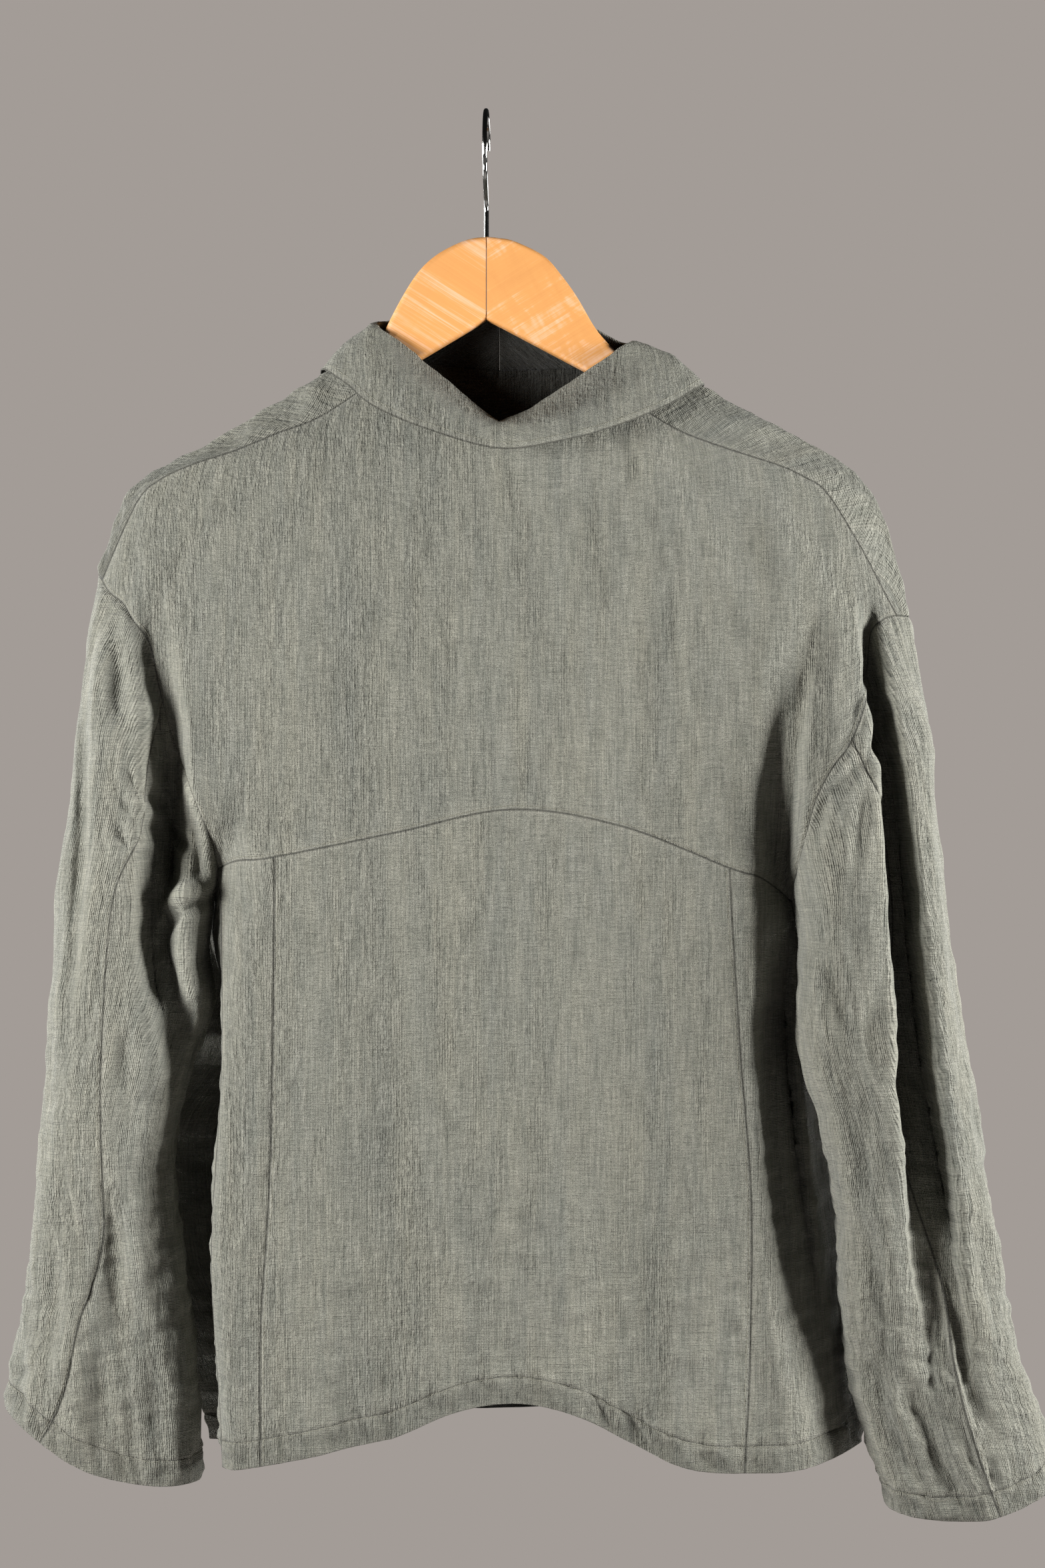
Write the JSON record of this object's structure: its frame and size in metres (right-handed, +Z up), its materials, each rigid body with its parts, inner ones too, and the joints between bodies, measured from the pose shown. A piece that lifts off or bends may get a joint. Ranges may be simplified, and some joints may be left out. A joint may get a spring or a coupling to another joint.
{
  "type": "boxy shirt on hanger",
  "caption": "Boxy long-sleeved linen shirt with dropped shoulders and a rolled collar, hanging flat on a wooden hanger with a wire hook.",
  "frame": {"origin": "inside top of the hook's bend, where the hanger hangs on a rod", "axes": "+Z up, the shirt's back (the side pictured) faces -Y, its front faces +Y, +X is to the right as one looks at the back"},
  "size_m": [0.6631, 0.1112, 0.8815],
  "materials": {
    "linen_upper_back": "washed plain-weave linen, matt",
    "linen_back_centre": "washed plain-weave linen, matt",
    "linen_back_side_left": "washed plain-weave linen, matt",
    "linen_back_side_right": "washed plain-weave linen, matt",
    "linen_front": "washed plain-weave linen, matt",
    "linen_sleeve_left_upper": "washed plain-weave linen, matt",
    "linen_sleeve_left_under": "washed plain-weave linen, matt",
    "linen_sleeve_right_upper": "washed plain-weave linen, matt",
    "linen_sleeve_right_under": "washed plain-weave linen, matt",
    "linen_collar_stand": "washed plain-weave linen, matt",
    "linen_collar_fall": "washed plain-weave linen, matt",
    "wood_hanger_arm_left": "clear satin lacquer",
    "wood_hanger_arm_right": "clear satin lacquer",
    "steel_hook": "bright plated"
  },
  "bodies": {
    "root": {"upper_back": "linen_upper_back", "back_centre": "linen_back_centre", "back_side_left": "linen_back_side_left", "back_side_right": "linen_back_side_right", "front": "linen_front", "sleeve_left_upper": "linen_sleeve_left_upper", "sleeve_left_under": "linen_sleeve_left_under", "sleeve_right_upper": "linen_sleeve_right_upper", "sleeve_right_under": "linen_sleeve_right_under", "collar_stand": "linen_collar_stand", "collar_fall": "linen_collar_fall", "hanger_arm_left": "wood_hanger_arm_left", "hanger_arm_right": "wood_hanger_arm_right", "hanger_hook": "steel_hook"}
  },
  "joints": []
}
